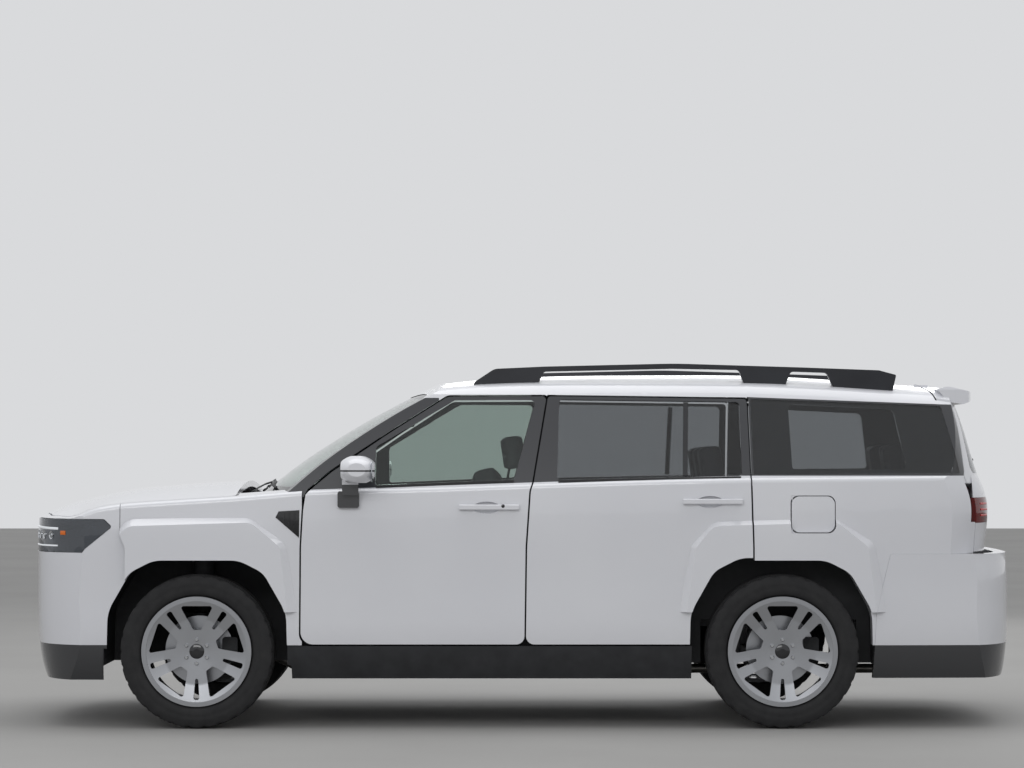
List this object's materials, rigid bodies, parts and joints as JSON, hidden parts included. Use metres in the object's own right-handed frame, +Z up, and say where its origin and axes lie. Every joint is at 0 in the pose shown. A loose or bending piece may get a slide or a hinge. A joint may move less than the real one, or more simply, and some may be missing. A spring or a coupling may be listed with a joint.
{
  "type": "sport utility vehicle",
  "caption": "Three-row sport utility vehicle with opening doors, hood, tailgate and fuel door, steered front wheels and free-turning wheels.",
  "frame": {"origin": "on the floor, under the middle of the bounding box", "axes": "+X towards the rear, +Y towards the vehicle's right side, +Z up"},
  "size_m": [4.83, 2.286, 1.7607],
  "materials": {
    "body_paint": "white enamel under clear coat",
    "clear_glass": "clear green-tinted safety glass",
    "dark_glass": "dark privacy glass",
    "gloss_black": "gloss black moulding",
    "satin_black": "satin black coated aluminium",
    "black_plastic": "grained black polypropylene",
    "cabin_plastic": "soft-touch dark grey cabin moulding",
    "cabin_leather": "black stitched leather",
    "seat_leather": "dark grey leather",
    "sheet_steel": "grey primed sheet steel",
    "steel": "plain stainless steel",
    "cast_iron": "as cast, dark coated",
    "cast_alloy": "as cast alloy",
    "alloy": "machined and grey lacquered alloy",
    "tyre": "moulded tyre rubber",
    "lamp_lens": "clear polycarbonate over a dark housing",
    "red_lens": "red moulded lens"
  },
  "bodies": {
    "body": {"centre_pillars": "body_paint", "cowl": "black_plastic", "dashboard": "cabin_plastic", "engine_block": "cast_alloy", "exhaust": "steel", "firewall": "sheet_steel", "floor_pan": "sheet_steel", "front_bumper": "body_paint", "front_fenders": "body_paint", "front_liners": "black_plastic", "front_seats": "seat_leather", "front_structure": "sheet_steel", "front_suspension": "cast_iron", "fuel_tank": "black_plastic", "grille": "gloss_black", "headlamps": "lamp_lens", "hinge_pillars": "body_paint", "quarter_windows": "dark_glass", "rear_bumper": "body_paint", "rear_liners": "black_plastic", "rear_quarters": "body_paint", "rear_suspension": "cast_iron", "roof_and_pillars": "body_paint", "roof_rails": "satin_black", "second_row_seats": "seat_leather", "sills": "black_plastic", "third_row_seats": "seat_leather", "windscreen": "clear_glass"},
    "hood": {"hood": "body_paint"},
    "tailgate": {"tailgate": "body_paint", "tailgate_glass": "dark_glass", "tail_lamps": "red_lens"},
    "fuel_door": {"fuel_door": "body_paint"},
    "steering_wheel": {"steering_wheel": "cabin_leather"},
    "front_door_left": {"front_door_left": "body_paint", "front_door_glass_left": "clear_glass", "door_mirror_left": "body_paint"},
    "rear_door_left": {"rear_door_left": "body_paint", "rear_door_glass_left": "dark_glass"},
    "knuckle_left": {"front_knuckle_left": "cast_iron"},
    "front_wheel_left": {"wheel_front_left": "alloy", "tyre_front_left": "tyre"},
    "rear_wheel_left": {"wheel_rear_left": "alloy", "tyre_rear_left": "tyre"},
    "front_door_right": {"front_door_right": "body_paint", "front_door_glass_right": "clear_glass", "door_mirror_right": "body_paint"},
    "rear_door_right": {"rear_door_right": "body_paint", "rear_door_glass_right": "dark_glass"},
    "knuckle_right": {"front_knuckle_right": "cast_iron"},
    "front_wheel_right": {"wheel_front_right": "alloy", "tyre_front_right": "tyre"},
    "rear_wheel_right": {"wheel_rear_right": "alloy", "tyre_rear_right": "tyre"}
  },
  "joints": [
    {"name": "front_door_left_hinge", "type": "hinge", "parent": "body", "child": "front_door_left", "pos_m": [-0.985, -0.898, 0.76], "axis": [0, 0, -1], "range_deg": [0, 65]},
    {"name": "front_door_right_hinge", "type": "hinge", "parent": "body", "child": "front_door_right", "pos_m": [-0.985, 0.898, 0.76], "axis": [0, 0, 1], "range_deg": [0, 65]},
    {"name": "rear_door_left_hinge", "type": "hinge", "parent": "body", "child": "rear_door_left", "pos_m": [0.106, -0.898, 0.76], "axis": [0, 0, -1], "range_deg": [0, 65]},
    {"name": "rear_door_right_hinge", "type": "hinge", "parent": "body", "child": "rear_door_right", "pos_m": [0.106, 0.898, 0.76], "axis": [0, 0, 1], "range_deg": [0, 65]},
    {"name": "hood_hinge", "type": "hinge", "parent": "body", "child": "hood", "pos_m": [-1.355, 0, 1.112], "axis": [0, 1, 0], "range_deg": [0, 45]},
    {"name": "tailgate_hinge", "type": "hinge", "parent": "body", "child": "tailgate", "pos_m": [1.955, 0, 1.655], "axis": [0, -1, 0], "range_deg": [0, 80]},
    {"name": "fuel_door_hinge", "type": "hinge", "parent": "body", "child": "fuel_door", "pos_m": [1.303, -0.91992, 1.028], "axis": [0, 0, -1], "range_deg": [0, 90]},
    {"name": "steering_left", "type": "hinge", "parent": "body", "child": "knuckle_left", "pos_m": [-1.56, -0.706, 0.37], "axis": [0, 0, 1], "range_deg": [-32, 32]},
    {"name": "steering_right", "type": "hinge", "parent": "body", "child": "knuckle_right", "pos_m": [-1.56, 0.706, 0.37], "axis": [0, 0, 1], "range_deg": [-32, 32]},
    {"name": "steering_wheel_turn", "type": "hinge", "parent": "body", "child": "steering_wheel", "pos_m": [-0.629, -0.37, 0.985], "axis": [0.9135, 0, 0.4067], "range_deg": [-448, 448]},
    {"name": "front_wheel_left_spin", "type": "hinge", "parent": "knuckle_left", "child": "front_wheel_left", "pos_m": [-1.56, -0.806, 0.37], "axis": [0, 1, 0], "continuous": true},
    {"name": "rear_wheel_left_spin", "type": "hinge", "parent": "body", "child": "rear_wheel_left", "pos_m": [1.255, -0.806, 0.37], "axis": [0, 1, 0], "continuous": true},
    {"name": "front_wheel_right_spin", "type": "hinge", "parent": "knuckle_right", "child": "front_wheel_right", "pos_m": [-1.56, 0.806, 0.37], "axis": [0, 1, 0], "continuous": true},
    {"name": "rear_wheel_right_spin", "type": "hinge", "parent": "body", "child": "rear_wheel_right", "pos_m": [1.255, 0.806, 0.37], "axis": [0, 1, 0], "continuous": true}
  ],
  "couplings": [
    {"joint": "steering_right", "follows": "steering_left", "ratio": 1},
    {"joint": "steering_wheel_turn", "follows": "steering_left", "ratio": 14}
  ]
}
